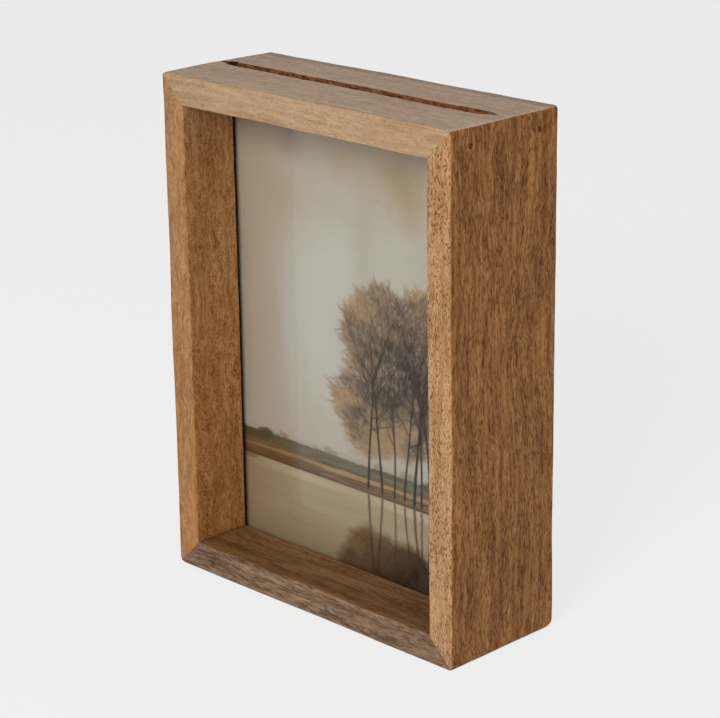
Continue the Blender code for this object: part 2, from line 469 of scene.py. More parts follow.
@cache
def wax_finish():
    """Dark brown wax, lumpy and dull."""
    n = Nodes("dark_wax")
    lumps = n.noise(n.mapped(n.place, (1000, 1000, 1000)), 1.6, 3.0, 0.6)
    n.link(n.mix(n.ramp(lumps, 0.35, 0.65), (0.052, 0.018, 0.005), (0.120, 0.045, 0.013)),
           n.shader.inputs["Base Color"])
    n.link(n.ramp(lumps, 0.3, 0.7, 0.55, 0.75), n.shader.inputs["Roughness"])
    n.shader.inputs["Specular IOR Level"].default_value = 0.0
    n.link(n.bump(lumps, 0.5, 0.2 * MM), n.shader.inputs["Normal"])
    return n.material


def finish_brads():
    """The brads stay as the model has them: drawn steel wire."""
    n = Nodes("brad_wire")
    drawn = n.noise(n.mapped(n.place, (900, 5200, 5200)), 1.0, 3.0, 0.6)
    n.link(n.mix(drawn, (0.30, 0.29, 0.28), (0.52, 0.51, 0.50)), n.shader.inputs["Base Color"])
    n.link(n.ramp(drawn, 0.3, 0.7, 0.28, 0.45), n.shader.inputs["Roughness"])
    n.shader.inputs["Metallic"].default_value = 1.0
    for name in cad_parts:
        if name.startswith("brad_"):
            brad = bpy.data.objects[name]
            for slot in brad.material_slots:
                slot.material = n.material


# ---------------------------------------------------------------- node helpers

class Nodes:
    """A short way to build a material's node tree."""

    def __init__(self, name):
        self.material = bpy.data.materials.new(name)
        self.material.use_nodes = True
        self.tree = self.material.node_tree
        self.shader = self.tree.nodes["Principled BSDF"]
        self.output = self.tree.nodes["Material Output"]
        self.place = self.add("ShaderNodeTexCoord").outputs["Object"]

    def add(self, kind, **settings):
        node = self.tree.nodes.new(kind)
        for key, value in settings.items():
            setattr(node, key, value)
        return node

    def link(self, value, socket):
        if isinstance(value, bpy.types.NodeSocket):
            self.tree.links.new(value, socket)
        elif value is not None:
            socket.default_value = value

    def mapped(self, vector, scale, location=(0, 0, 0), rotation=(0, 0, 0)):
        node = self.add("ShaderNodeMapping")
        self.link(vector, node.inputs["Vector"])
        node.inputs["Location"].default_value = location
        node.inputs["Rotation"].default_value = rotation
        node.inputs["Scale"].default_value = scale
        return node.outputs["Vector"]

    def noise(self, vector, scale, detail=2.0, rough=0.5, distort=0.0, colour=False):
        node = self.add("ShaderNodeTexNoise")
        self.link(vector, node.inputs["Vector"])
        node.inputs["Scale"].default_value = scale
        node.inputs["Detail"].default_value = detail
        node.inputs["Roughness"].default_value = rough
        node.inputs["Distortion"].default_value = distort
        return node.outputs["Color" if colour else "Fac"]

    def math(self, operation, first, second=None, third=None, clamp=False):
        node = self.add("ShaderNodeMath", operation=operation, use_clamp=clamp)
        for socket, value in zip(node.inputs, (first, second, third)):
            self.link(value, socket)
        return node.outputs[0]

    def vector_math(self, operation, first, second):
        node = self.add("ShaderNodeVectorMath", operation=operation)
        self.link(first, node.inputs[0])
        self.link(second, node.inputs["Scale"] if operation == "SCALE" else node.inputs[1])
        return node.outputs[0]

    def ramp(self, value, low, high, to_low=0.0, to_high=1.0, smooth=True):
        """Turns low..high of a value into to_low..to_high, and holds it there outside."""
        node = self.add("ShaderNodeMapRange", interpolation_type="SMOOTHSTEP" if smooth else "LINEAR")
        for key, item in (("Value", value), ("From Min", low), ("From Max", high),
                          ("To Min", to_low), ("To Max", to_high)):
            self.link(item, node.inputs[key])
        return node.outputs["Result"]

    def mix(self, factor, first, second, blend="MIX"):
        node = self.add("ShaderNodeMix", data_type="RGBA", blend_type=blend)
        self.link(factor, node.inputs[0])
        self.link((*first, 1.0) if isinstance(first, tuple) else first, node.inputs[6])
        self.link((*second, 1.0) if isinstance(second, tuple) else second, node.inputs[7])
        return node.outputs[2]

    def bump(self, height, strength, distance, under=None):
        node = self.add("ShaderNodeBump")
        node.inputs["Strength"].default_value = strength
        node.inputs["Distance"].default_value = distance
        self.link(height, node.inputs["Height"])
        self.link(under, node.inputs["Normal"])
        return node.outputs["Normal"]

    def split(self, vector):
        node = self.add("ShaderNodeSeparateXYZ")
        self.link(vector, node.inputs[0])
        return node.outputs


# ---------------------------------------------------------------- wood

ALONG_X = (0, 0, 0)
ALONG_Z = (0, math.pi / 2, 0)


def centred(n, noise_colour, *amount):
    """Turns a noise colour into a push of up to half of amount (in mm) each way."""
    return n.vector_math("MULTIPLY", n.vector_math("SUBTRACT", noise_colour, (0.5, 0.5, 0.5)), amount)


def shaded(n, colour, value):
    """A colour times a grey value."""
    grey = n.add("ShaderNodeCombineColor")
    for socket in grey.inputs[:3]:
        n.link(value, socket)
    return n.mix(1.0, colour, grey.outputs[0], "MULTIPLY")


def grain_space(n, seed, turn, curl):
    """The board's place in mm, turned along its grain, and the same place bent by the grain."""
    mm = n.mapped(n.place, (1000, 1000, 1000), location=seed, rotation=turn)
    drift = centred(n, n.noise(n.mapped(mm, (0.012, 0.03, 0.03)), 1.0, 1.0, colour=True), 6, 10, 10)
    waves = n.noise(n.mapped(mm, (0.085, 0.11, 0.11)), 1.0, 1.5, 0.5, colour=True)
    waves = centred(n, waves, 1.5 * curl, 4.2 * curl, 4.2 * curl)
    return mm, n.vector_math("ADD", n.vector_math("ADD", mm, drift), waves)


def face_share(n, depth_mm, chips, spill):
    """1 on the front and back faces and 0 on the others, with a chipped line between."""
    facing = n.math("ABSOLUTE", n.split(n.add("ShaderNodeTexCoord").outputs["Normal"])[1])
    near_face = n.math("ADD", depth_mm, n.math("MULTIPLY", chips, 3.2 * spill))
    face_depth = HALF_DEPTH / MM
    round_edge = n.ramp(near_face, face_depth - spill, face_depth - spill + 0.3)
    flat_face = n.ramp(n.math("ADD", facing, n.math("MULTIPLY", chips, 0.3)), 0.66, 0.82)
    is_outer = n.ramp(depth_mm, face_depth - 3.0, face_depth - 2.0)
    return n.math("MULTIPLY", n.math("MAXIMUM", round_edge, flat_face), is_outer)


def wood_tone(n, mm, grain):
    """From deep to pale: long growth streaks, mottling and soft blotches of oil."""
    streak = n.noise(n.mapped(grain, (0.022, 0.50, 0.50)), 1.0, 3.0, 0.62)
    mottle = n.noise(n.mapped(grain, (0.16, 0.85, 0.85), location=(3, 7, 1)), 1.0, 2.0, 0.55)
    blotch = n.noise(n.mapped(mm, (0.035, 0.07, 0.07)), 1.0, 2.0)
    tone = n.math("ADD", n.math("MULTIPLY", streak, 0.58), n.math("MULTIPLY", mottle, 0.34))
    return n.ramp(n.math("ADD", tone, n.math("MULTIPLY", blotch, 0.14)), 0.42, 0.64, smooth=False)


def wood_pores(n, grain, dash_length):
    """Short dark dashes along the grain, in crowded and sparse bands, and finer ones between."""
    crowd = n.noise(n.mapped(grain, (0.035, 0.13, 0.13), location=(2, 6, 4)), 1.0, 2.0)
    start = n.ramp(crowd, 0.32, 0.68, 0.572, 0.488, smooth=False)
    stretched = n.add("ShaderNodeCombineXYZ")
    n.link(n.math("DIVIDE", 1.0, dash_length), stretched.inputs[0])
    stretched.inputs[1].default_value = 1.0
    stretched.inputs[2].default_value = 1.0
    dashed = n.vector_math("MULTIPLY", grain, stretched.outputs[0])
    dash = n.noise(dashed, 1.85, 2.0, 0.5)
    fine_dash = n.noise(n.vector_math("ADD", dashed, (5, 2, 8)), 3.5, 1.0, 0.4)
    return n.ramp(dash, start, n.math("ADD", start, 0.085)), n.ramp(fine_dash, 0.55, 0.66)


def wood_material(name, turn, seed, faces, sides, curl=1.0, spill=0.4, back_edge_shade=0.0, warm_foot=0.0):
    """Oiled hardwood with interlocked grain and open pores.

    The grain runs along local X of the turned place. faces and sides are (pale, deep, pores,
    pore length) for the front and back faces and for all the others, which are cut at another
    angle to the grain; the sides' tones also carry painted shade, and on the top rail a painted
    sheen. spill is how far, in mm, the faces' tone reaches round the worn edges.
    back_edge_shade is how much painted shade darkens and greys the board near its back edge,
    and warm_foot is how much more orange it is at its foot than at its top.
    """
    n = Nodes(name)
    mm, grain = grain_space(n, seed, turn, curl)
    outside = n.split(n.place)
    depth_mm = n.math("MULTIPLY", n.math("ABSOLUTE", outside[1]), 1000)
    chips = n.noise(n.mapped(grain, (0.35, 1.1, 1.1), location=(9, 4, 2)), 1.0, 3.0, 0.6)
    chips = n.math("SUBTRACT", chips, 0.5)
    on_face = face_share(n, depth_mm, chips, spill)
    tone = wood_tone(n, mm, grain)
    # Painted light: the sides' tones differ from the faces' partly by the cut of the grain and partly as
    # painted shade, and on the top rail as a painted sheen.
    colour = n.mix(on_face, n.mix(tone, sides[1], sides[0]), n.mix(tone, faces[1], faces[0]))
    fibre = n.noise(n.mapped(grain, (0.5, 7.0, 7.0)), 1.0, 2.0, 0.6)
    colour = shaded(n, colour, n.ramp(fibre, 0.3, 0.7, 0.86, 1.12, smooth=False))
    pore, fine_pore = wood_pores(n, grain, n.ramp(on_face, 0, 1, sides[3], faces[3]))
    share = n.ramp(on_face, 0, 1, sides[2], faces[2])
    burnt = n.mix(1.0, colour, (0.46, 0.33, 0.22), "MULTIPLY")
    colour = n.mix(n.math("MULTIPLY", pore, share), colour, burnt)
    dull = n.mix(1.0, colour, (0.62, 0.52, 0.42), "MULTIPLY")
    colour = n.mix(n.math("MULTIPLY", fine_pore, n.math("MULTIPLY", share, 0.8)), colour, dull)
    if back_edge_shade:
        # Painted shade: darker and greyer towards the back edge.
        inward = n.math("ADD", n.math("MULTIPLY", outside[1], 1000), n.math("MULTIPLY", chips, 3.0))
        edge = HALF_DEPTH / MM
        back_shade = n.math("MULTIPLY", n.ramp(inward, edge - 6.0, edge - 3.4), back_edge_shade)
        colour = n.mix(back_shade, colour, n.mix(1.0, colour, (0.66, 0.66, 0.68), "MULTIPLY"))
    if warm_foot:
        foot = n.math("MULTIPLY", n.ramp(outside[2], 0.0, TOP, 1.0, 0.0, smooth=False), warm_foot)
        colour = n.mix(foot, colour, n.mix(1.0, colour, (1.0, 0.90, 0.70), "MULTIPLY"))
    n.link(colour, n.shader.inputs["Base Color"])
    n.link(n.math("ADD", n.ramp(tone, 0.0, 1.0, 0.60, 0.50), n.math("MULTIPLY", pore, 0.15)),
           n.shader.inputs["Roughness"])
    n.shader.inputs["Specular IOR Level"].default_value = 0.12
    hollow = n.math("ADD", n.math("MULTIPLY", pore, -1.0), n.math("MULTIPLY", fibre, 0.35))
    n.link(n.bump(hollow, 0.30, 0.10 * MM), n.shader.inputs["Normal"])
    return n.material


def wood_finishes():
    """One finish for each board. Each board came from another plank."""
    # Where a board's sides are darker than its faces, that is partly its own cut and partly painted
    # shade.
    return {
        "top_rail": wood_material(
            "wood_top_rail", ALONG_X, (310, 40, 17),
            faces=((0.36, 0.245, 0.145), (0.27, 0.165, 0.085), 0.28, 2.2),
            # Paler and greyer on the sides than on the faces: a painted sheen on the top face, seen at a
            # grazing angle.
            sides=((0.46, 0.33, 0.235), (0.36, 0.25, 0.178), 0.26, 7.0),
            curl=0.25, spill=0.9, back_edge_shade=0.75,
        ),
        "bottom_rail": wood_material(
            "wood_bottom_rail", ALONG_X, (120, 95, 60),
            faces=((0.236, 0.155, 0.098), (0.084, 0.048, 0.027), 0.80, 9.0),
            sides=((0.178, 0.090, 0.036), (0.092, 0.039, 0.011), 0.45, 7.0),
            curl=0.35, spill=0.3,
        ),
        "left_stile": wood_material(
            "wood_left_stile", ALONG_Z, (45, 210, 30),
            faces=((0.335, 0.185, 0.086), (0.225, 0.108, 0.043), 0.42, 3.2),
            sides=((0.312, 0.160, 0.067), (0.184, 0.075, 0.020), 0.72, 2.2),
            curl=2.2, spill=0.35, warm_foot=0.85,
        ),
        "right_stile": wood_material(
            "wood_right_stile", ALONG_Z, (400, 20, 150),
            faces=((0.398, 0.238, 0.125), (0.262, 0.136, 0.058), 0.95, 2.8),
            sides=((0.308, 0.143, 0.048), (0.143, 0.052, 0.011), 0.84, 5.0),
            curl=0.8, spill=0.5,
        ),
    }


@cache
def raw_wood():
    """Wood that the saw, the router or the drill tore: reddish, rough and unoiled."""
    n = Nodes("raw_wood")
    mm = n.mapped(n.place, (1000, 1000, 1000))
    tear = n.noise(n.mapped(mm, (0.30, 1.0, 0.8)), 1.0, 4.0, 0.65, distort=0.6)
    shreds = n.noise(n.mapped(mm, (0.9, 3.0, 3.0), location=(4, 1, 7)), 1.0, 3.0, 0.6)
    colour = n.mix(n.ramp(tear, 0.36, 0.64), (0.045, 0.014, 0.006), (0.200, 0.078, 0.034))
    colour = n.mix(n.ramp(shreds, 0.56, 0.72), colour, (0.26, 0.135, 0.070))
    # Painted shade, nearly black, in the deep hole at the slot's left end, where the cutter was plunged
    # in.
    along = n.math("ADD", n.split(mm)[0], n.math("MULTIPLY", shreds, 2.0))
    left = SLOT_LEFT / MM
    hole_shade = n.math("MULTIPLY", n.ramp(along, left - 3.4, left - 2.2),
                      n.ramp(along, left - 0.4, left + 1.4, 1.0, 0.0))
    colour = n.mix(n.math("MULTIPLY", hole_shade, 0.93), colour, (0.010, 0.006, 0.004))
    n.link(colour, n.shader.inputs["Base Color"])
    n.link(n.ramp(shreds, 0.3, 0.7, 0.75, 0.95), n.shader.inputs["Roughness"])
    n.shader.inputs["Specular IOR Level"].default_value = 0.05
    height = n.math("ADD", tear, n.math("MULTIPLY", shreds, 0.4))
    n.link(n.bump(height, 0.8, 0.4 * MM), n.shader.inputs["Normal"])
    return n.material


# ---------------------------------------------------------------- glass

def make_pane(name, low, high, node):
    """A pane with ground edges. Slot 0 is its clear faces and slot 1 its edges, near black as the glass's
    own edge and as painted shade.
    """
    pane = add_box(name, low, high)
    round_edges(pane, lambda a, b: True, 0.28 * MM, 2)
    for material in (clear_glass(), glass_edge_and_shade()):
        pane.data.materials.append(material)
    for face in pane.data.polygons:
        face.material_index = 0 if abs(face.normal.y) > 0.9 else 1
    finish_piece(pane, node, f"clear_{node}", node)


@cache
def clear_glass():
    """Thin clear glass: light goes straight through, and a little is mirrored."""
    n = Nodes("clear_glass")
    n.tree.nodes.remove(n.shader)
    through = n.add("ShaderNodeBsdfTransparent")
    through.inputs["Color"].default_value = (0.980, 0.980, 0.980, 1)
    mirrored = n.add("ShaderNodeBsdfGlossy")
    mirrored.inputs["Roughness"].default_value = 0.06
    mirrored.inputs["Color"].default_value = (1, 1, 1, 1)
    share = n.add("ShaderNodeFresnel")
    share.inputs["IOR"].default_value = 1.16
    sheet = n.add("ShaderNodeMixShader")
    n.link(share.outputs[0], sheet.inputs[0])
    n.link(through.outputs[0], sheet.inputs[1])
    n.link(mirrored.outputs[0], sheet.inputs[2])
    n.link(sheet.outputs[0], n.output.inputs["Surface"])
    return n.material


@cache
def glass_edge_and_shade():
    """The ground edge of a pane, near black: partly the glass's own dark edge, partly painted shade for
    the dark line in the groove.
    """
    n = Nodes("glass_edge_and_shade")
    grind = n.noise(n.mapped(n.place, (1000, 1000, 1000)), 2.0, 3.0)
    n.link(n.mix(grind, (0.004, 0.006, 0.005), (0.012, 0.016, 0.013)), n.shader.inputs["Base Color"])
    n.link(n.ramp(grind, 0.3, 0.7, 0.35, 0.6), n.shader.inputs["Roughness"])
    n.shader.inputs["Specular IOR Level"].default_value = 0.15
    return n.material


# ---------------------------------------------------------------- the print

# How much light falls on the paper, and how much the glass adds to what shows.
ROOM_LIGHT = 1.13
GLASS_HAZE = 0.016

# The lie of the land, in mm above the opening's lower edge, and what grows on it.
HORIZON = 40.0
SHORE = 30.0
FAR_BUSHES = 9
HEDGE_BUSHES = 6
TREES = 11
CLUMP_START = 60.0


def paint(srgb):
    """The paint that looks like this sRGB value out of 255, in the room's light, behind glass."""
    share = np.asarray(srgb, float) / 255
    linear = np.where(share <= 0.04045, share / 12.92, ((share + 0.055) / 1.055) ** 2.4)
    return np.maximum((linear - GLASS_HAZE) / ROOM_LIGHT, 0.004)


def edge_up(value, at, soft):
    """0 below a line and 1 above it, with a soft step between."""
    return np.clip((value - at) / soft + 0.5, 0, 1)


class Painting:
    """A misty lake with a clump of autumn trees, painted on the points of a grid.

    Trees, bushes and leaves are placed by seeded draws. Places are in mm from the lower left
    corner of what the opening shows.
    """

    def __init__(self, xs, zs, seed):
        self.xs = xs / MM
        self.zs = zs / MM
        self.x, self.z = np.meshgrid(self.xs, self.zs)
        self.random = np.random.default_rng(seed)
        self.paper = np.zeros((*self.x.shape, 3))

    def blank(self):
        return np.zeros(self.x.shape)

    def cloud(self, cell_x, cell_z, layers=1, turn=0.0, keep=0.5):
        """Smooth noise from 0 to 1 with cells of this size, in a few finer and finer layers."""
        total, weight, share = self.blank(), 0.0, 1.0
        across = self.x * math.cos(turn) + self.z * math.sin(turn)
        upward = self.z * math.cos(turn) - self.x * math.sin(turn)
        for _ in range(layers):
            lattice = self.random.random((97, 101))
            u, v = across / cell_x + 500, upward / cell_z + 500
            column, row = np.floor(u).astype(int), np.floor(v).astype(int)
            fu, fv = u - column, v - row
            fu, fv = fu * fu * (3 - 2 * fu), fv * fv * (3 - 2 * fv)

            def corner(right, up):
                return lattice[(row + up) % 97, (column + right) % 101]

            low = corner(0, 0) * (1 - fu) + corner(1, 0) * fu
            high = corner(0, 1) * (1 - fu) + corner(1, 1) * fu
            total += share * (low * (1 - fv) + high * fv)
            weight += share
            share *= keep
            cell_x, cell_z = cell_x / 2, cell_z / 2
        return total / weight

    def wash(self, colour, cover):
        """Lays a colour over the paper where cover is above 0."""
        cover = np.clip(cover, 0, 1)[..., None]
        self.paper = self.paper * (1 - cover) + paint(colour) * cover

    def reach(self, start, end, width, soft=0.2):
        """The patch of the grid round a tapering line, and how far the line covers it."""
        (x0, z0), (x1, z1) = start, end
        wide = max(width) + 2 * soft
        columns = slice(*np.searchsorted(self.xs, (min(x0, x1) - wide, max(x0, x1) + wide)))
        rows = slice(*np.searchsorted(self.zs, (min(z0, z1) - wide, max(z0, z1) + wide)))
        x, z = self.x[rows, columns], self.z[rows, columns]
        dx, dz = x1 - x0, z1 - z0
        along = np.clip(((x - x0) * dx + (z - z0) * dz) / (dx * dx + dz * dz + 1e-9), 0, 1)
        away = np.hypot(x - x0 - along * dx, z - z0 - along * dz)
        half = (width[0] + (width[1] - width[0]) * along) / 2
        return (rows, columns), np.clip((half + soft - away) / (2 * soft), 0, 1)

    def line(self, field, start, end, width, strength=1.0):
        """Draws a tapering line into a field of ink."""
        patch, cover = self.reach(start, end, width)
        field[patch] = np.maximum(field[patch], cover * strength)

    def dab(self, start, end, width, colour, strength):
        """Puts one stroke of the brush on the paper."""
        patch, cover = self.reach(start, end, (width, 0.3 * width))
        cover = (cover * strength)[..., None]
        self.paper[patch] = self.paper[patch] * (1 - cover) + colour * cover

    def at(self, field, x, z):
        """The field's value at a place."""
        column = min(np.searchsorted(self.xs, x), len(self.xs) - 1)
        row = min(np.searchsorted(self.zs, z), len(self.zs) - 1)
        return field[row, column]

    def blob(self, cx, cz, rx, rz, ragged, edge=0.25):
        """How deep each point lies in a ragged oval, from 0 outside to 1 well inside."""
        away = np.hypot((self.x - cx) / rx, (self.z - cz) / rz) + ragged
        return np.clip((1 - away) / edge, 0, 1)

    def mirrored(self, field, shore, wander=1.0):
        """A field turned upside down about the shore, for what the water shows."""
        wave = wander * (self.cloud(7, 0.9, 2) - 0.5)
        turned = np.empty_like(field)
        for column in range(field.shape[1]):
            turned[:, column] = np.interp(2 * shore - self.z[:, column], self.zs, field[:, column])
        columns = self.x + wave
        return np.stack([
            np.interp(columns[row], self.xs, turned[row]) for row in range(len(self.zs))
        ])

    def branch(self, field, place, heading, length, width, forks):
        """A branch that wanders, thins and forks. heading is measured from straight up."""
        if width < 0.10 or not forks:
            return
        pieces = 5
        for _ in range(pieces):
            heading += self.random.normal(0, 0.13) - 0.04 * heading
            step = length / pieces
            tip = (place[0] + step * math.sin(heading), place[1] + step * math.cos(heading))
            self.line(field, place, tip, (width, width * 0.92), min(1.0, 0.55 + width))
            place, width = tip, width * 0.92
            if self.random.random() < 0.6:
                fork = heading + self.random.choice((-1, 1)) * self.random.uniform(0.35, 0.9)
                self.branch(field, place, fork, length * 0.6, width * 0.55, forks - 1)
        for side in (-1, 1):
            fork = heading + side * self.random.uniform(0.12, 0.45)
            self.branch(field, place, fork, length * 0.68, width * 0.66, forks - 1)


def paint_sky(art):
    height = (art.z - HORIZON) / 130
    middle = np.exp(-((art.x - 52) / 34) ** 2 - ((height - 0.40) / 0.36) ** 2)
    art.wash((163, 151, 134), np.ones_like(art.x))
    art.wash((172, 170, 160), middle * 1.25)
    art.wash((167, 164, 146), edge_up(art.x, 74, 50) * edge_up(-height, -0.9, 0.4) * 0.75)
    art.wash((150, 137, 118), edge_up(height, 0.92, 0.5) * 0.85)
    art.wash((155, 141, 120), edge_up(-art.x, -13, 22) * 0.65)
    art.wash((160, 152, 140), edge_up(-height, -0.08, 0.2) * 0.6)
    stain = art.cloud(26, 22, 3)
    art.wash((156, 138, 108), edge_up(stain, 0.60, 0.26) * edge_up(height, 0.66, 0.4) * 0.55)
    art.wash((146, 126, 92), art.blob(84, 150, 17, 15, art.cloud(9, 9, 2) - 0.5, 0.9) * 0.7)
    art.wash((122, 112, 102), art.blob(27, 160, 11, 12, 0.6 * art.cloud(7, 7, 2) - 0.3, 0.9) * 0.5)
    veil = art.cloud(16, 60, 3)
    art.wash((152, 139, 118), edge_up(veil, 0.60, 0.35) * 0.30)
    art.wash((174, 171, 160), edge_up(-veil, -0.38, 0.3) * middle * 0.5)


def paint_land(art):
    roll = 0.8 * (art.cloud(30, 90, 2) - 0.5)
    leafy = 0.6 * (art.cloud(1.3, 1.2, 2) - 0.5)
    # The far shore in the haze, with low bushes along it.
    art.wash((152, 141, 126), edge_up(-art.z, -(HORIZON + 2.4) - roll, 0.6) * 0.55)
    for middle in art.random.uniform(4, 120, FAR_BUSHES):
        wide = art.random.uniform(1.6, 3.6)
        art.wash((124, 111, 93), art.blob(middle, HORIZON + 0.8, wide, 0.8 * wide, leafy, 0.35) * 0.55)
    # The near hedge, darkest on the left, and the meadow below it.
    hedge_top = HORIZON + 0.35 + roll + 0.7 * (art.cloud(1.8, 90, 2) - 0.5)
    meadow = edge_up(-art.z, -hedge_top, 0.4)
    art.wash((104, 101, 82), meadow)
    art.wash((84, 70, 47), meadow * edge_up(-art.x, -22, 26) * 0.85)
    for middle in art.random.uniform(0, 122, HEDGE_BUSHES):
        wide = art.random.uniform(3.0, 6.0)
        art.wash((80, 73, 54), art.blob(middle, HORIZON + 0.2, wide, 0.42 * wide, leafy) * 0.8)
    streaks = art.cloud(15, 0.5, 3)
    art.wash((84, 74, 58), meadow * edge_up(art.cloud(20, 0.8, 2), 0.58, 0.25) * 0.7)
    # Reeds, sand and mud in level bands down to the shore.
    for top, colour in ((36.8, (98, 80, 58)), (35.4, (146, 123, 91)), (33.6, (104, 81, 60))):
        band_top = top + 0.3 * roll + 0.6 * (art.cloud(9, 90, 2) - 0.5)
        art.wash(colour, edge_up(-art.z, -band_top, 0.5))
    low = edge_up(-art.z, -36.2, 0.5)
    art.wash((80, 60, 45), low * edge_up(streaks, 0.57, 0.2) * 0.65)
    art.wash((150, 124, 90), low * edge_up(-streaks, -0.39, 0.2) * 0.35)
    art.wash((112, 84, 52), low * edge_up(-art.x, -26, 30) * 0.35)


def paint_water(art):
    depth = (SHORE - art.z) / SHORE
    art.wash((78, 62, 47), edge_up(-art.z, -(SHORE + 0.35), 0.3))
    water = edge_up(-art.z, -(SHORE - 0.45), 0.3)
    art.wash((152, 135, 110), water)
    art.wash((166, 151, 124), water * edge_up(-depth, -0.13, 0.05))
    art.wash((124, 109, 82), water * edge_up(depth, 0.95, 0.7) * 0.9)
    art.wash((136, 116, 88), water * edge_up(-art.x, -18, 28) * 0.65)
    art.wash((138, 123, 96), water * edge_up(art.cloud(30, 3.0, 3), 0.58, 0.3) * 0.4)
    art.wash((104, 82, 54), art.blob(1, SHORE - 1.0, 5.5, 1.6, 0, 0.5) * 0.6)


def draw_trees(art, places):
    """Slim trees in a clump on the bank: a field of ink for trunks and one for twigs."""
    trunks, twigs = art.blank(), art.blank()
    for x in places:
        place = (x, SHORE + art.random.uniform(1.4, 2.2))
        heading = art.random.uniform(-0.07, 0.07)
        width = art.random.uniform(0.75, 1.45)
        height = art.random.uniform(30, 44)
        pieces, bare = 9, 4
        for piece in range(pieces):
            heading += art.random.normal(0, 0.025)
            step = height / pieces
            tip = (place[0] + step * math.sin(heading), place[1] + step * math.cos(heading))
            art.line(trunks, place, tip, (width, width * 0.965))
            place, width = tip, width * 0.965
            if piece >= bare:
                fork = heading + art.random.choice((-1, 1)) * art.random.uniform(0.45, 0.95)
                art.branch(twigs, place, fork, 11, max(0.5 * width, 0.45), 4)
        for side in (-1, 1):
            fork = heading + side * art.random.uniform(0.08, 0.28)
            art.branch(trunks if width > 1.0 else twigs, place, fork, 15, width * 0.66, 5)
    return trunks, twigs


def crown_cover(art, places):
    """Where the leaves are: three ragged ovals over each tree, feathered at their edges."""
    ragged = 0.42 * (art.cloud(6.5, 5.5, 4, turn=0.5, keep=0.62) - 0.5)
    cover = art.blank()
    for x in places:
        for height in (62, 80, 96):
            middle = x + art.random.uniform(-8, 5)
            rise = height + art.random.uniform(-5, 5)
            wide = art.random.uniform(11, 18)
            cover = np.maximum(cover, art.blob(middle, rise, wide, 0.9 * wide, ragged, 0.30))
    return cover


def paint_leaves(art, cover, gloom, count, colours, size, strength, edges_only=False):
    """Strokes of leaves that fan out from the foot of the clump."""
    paints = [paint(colour) for colour in colours]
    placed = 0
    for _ in range(count * 6):
        if placed == count:
            break
        x, z = art.random.uniform(40, 124), art.random.uniform(44, 122)
        depth = art.at(cover, x, z)
        if depth <= art.random.uniform(0, 0.5) or (edges_only and depth > 0.9):
            continue
        placed += 1
        outwards = math.atan2(x - 84, z - 38)
        heading = outwards * 1.15 + art.random.normal(0, 0.55)
        length = size * art.random.uniform(0.6, 1.6)
        end = (x + length * math.sin(heading), z + length * 0.7 * math.cos(heading))
        dark = art.at(gloom, x, z) + art.random.normal(0, 0.17)
        place = min(max(dark, 0), 0.999) * (len(paints) - 1)
        first = int(place)
        colour = paints[first] + (paints[first + 1] - paints[first]) * (place - first)
        width = size * art.random.uniform(0.16, 0.34)
        art.dab((x, z), end, width, colour, strength * art.random.uniform(0.5, 1.0))


def paint_trees(art):
    places = CLUMP_START + np.cumsum(art.random.uniform(3.4, 7.6, TREES))
    cover = crown_cover(art, places)
    trunks, twigs = draw_trees(art, places)
    clumps = art.cloud(10, 6.5, 3, keep=0.6)
    heart = np.exp(-((art.x - 87) / 25) ** 2 - ((art.z - 82) / 17) ** 2)
    heart = np.maximum(heart, 0.8 * np.exp(-((art.x - 112) / 12) ** 2 - ((art.z - 80) / 22) ** 2))
    gloom = np.clip(0.29 + 0.75 * heart + 1.3 * (clumps - 0.5), 0, 1) * np.clip(cover * 1.1, 0, 1)
    gold_to_dark = (
        (156, 127, 90), (131, 107, 79), (107, 88, 68), (86, 72, 57), (69, 57, 46), (52, 43, 35),
    )
    art.wash((116, 97, 78), cover * 0.6)
    paint_leaves(art, cover, gloom, 2600, gold_to_dark, 4.0, 0.55)
    art.wash((56, 50, 46), twigs * 0.80 * edge_up(cover, 0.25, 0.5))
    paint_leaves(art, cover, gloom, 5200, gold_to_dark, 2.3, 0.70)
    paint_leaves(art, cover, np.clip(gloom - 0.10, 0, 1), 2200, gold_to_dark, 1.5, 0.60)
    paint_leaves(art, cover * (1 - heart), gloom * 0.6, 1000, gold_to_dark, 1.7, 0.6, edges_only=True)
    art.wash((46, 42, 38), twigs * 0.90)
    art.wash((38, 42, 40), trunks * (0.97 - 0.22 * gloom))
    # What the water shows of them, browner and blurred.
    shown = SHORE + 1.2
    water = edge_up(-art.z, -(SHORE - 0.5), 0.4)
    smear = art.mirrored(cover, shown, 4.0)
    art.wash((106, 82, 60), smear * water * 0.78)
    art.wash((82, 60, 46), smear * edge_up(art.cloud(5, 3.5, 3), 0.50, 0.35) * water * 0.5)
    art.wash((48, 33, 26), smear * edge_up(art.x - 1.9 * art.z, 60, 44) * water * 0.85)
    art.wash((92, 74, 60), art.mirrored(twigs, shown) * water * 0.55)
    art.wash((72, 60, 52), art.mirrored(trunks, shown, 0.6) * water * 0.85)


# The sheet's grid is close where there are trees and fields, and open in the sky.
PRINT_COLUMNS = ((-2.5, 44), (41, 232), (124.5, 0))
PRINT_ROWS = ((-3.2, 116), (48, 150), (122, 40), (174.6, 0))


def grid_lines(low, high, stretches):
    """Places from low to high. Each stretch is (start in mm, number of steps)."""
    starts = [start * MM for start, _ in stretches]
    starts[0], starts[-1] = low, high
    parts = [
        np.linspace(start, end, steps, endpoint=False)
        for start, end, (_, steps) in zip(starts, starts[1:], stretches)
    ]
    return np.concatenate([*parts, [high]])


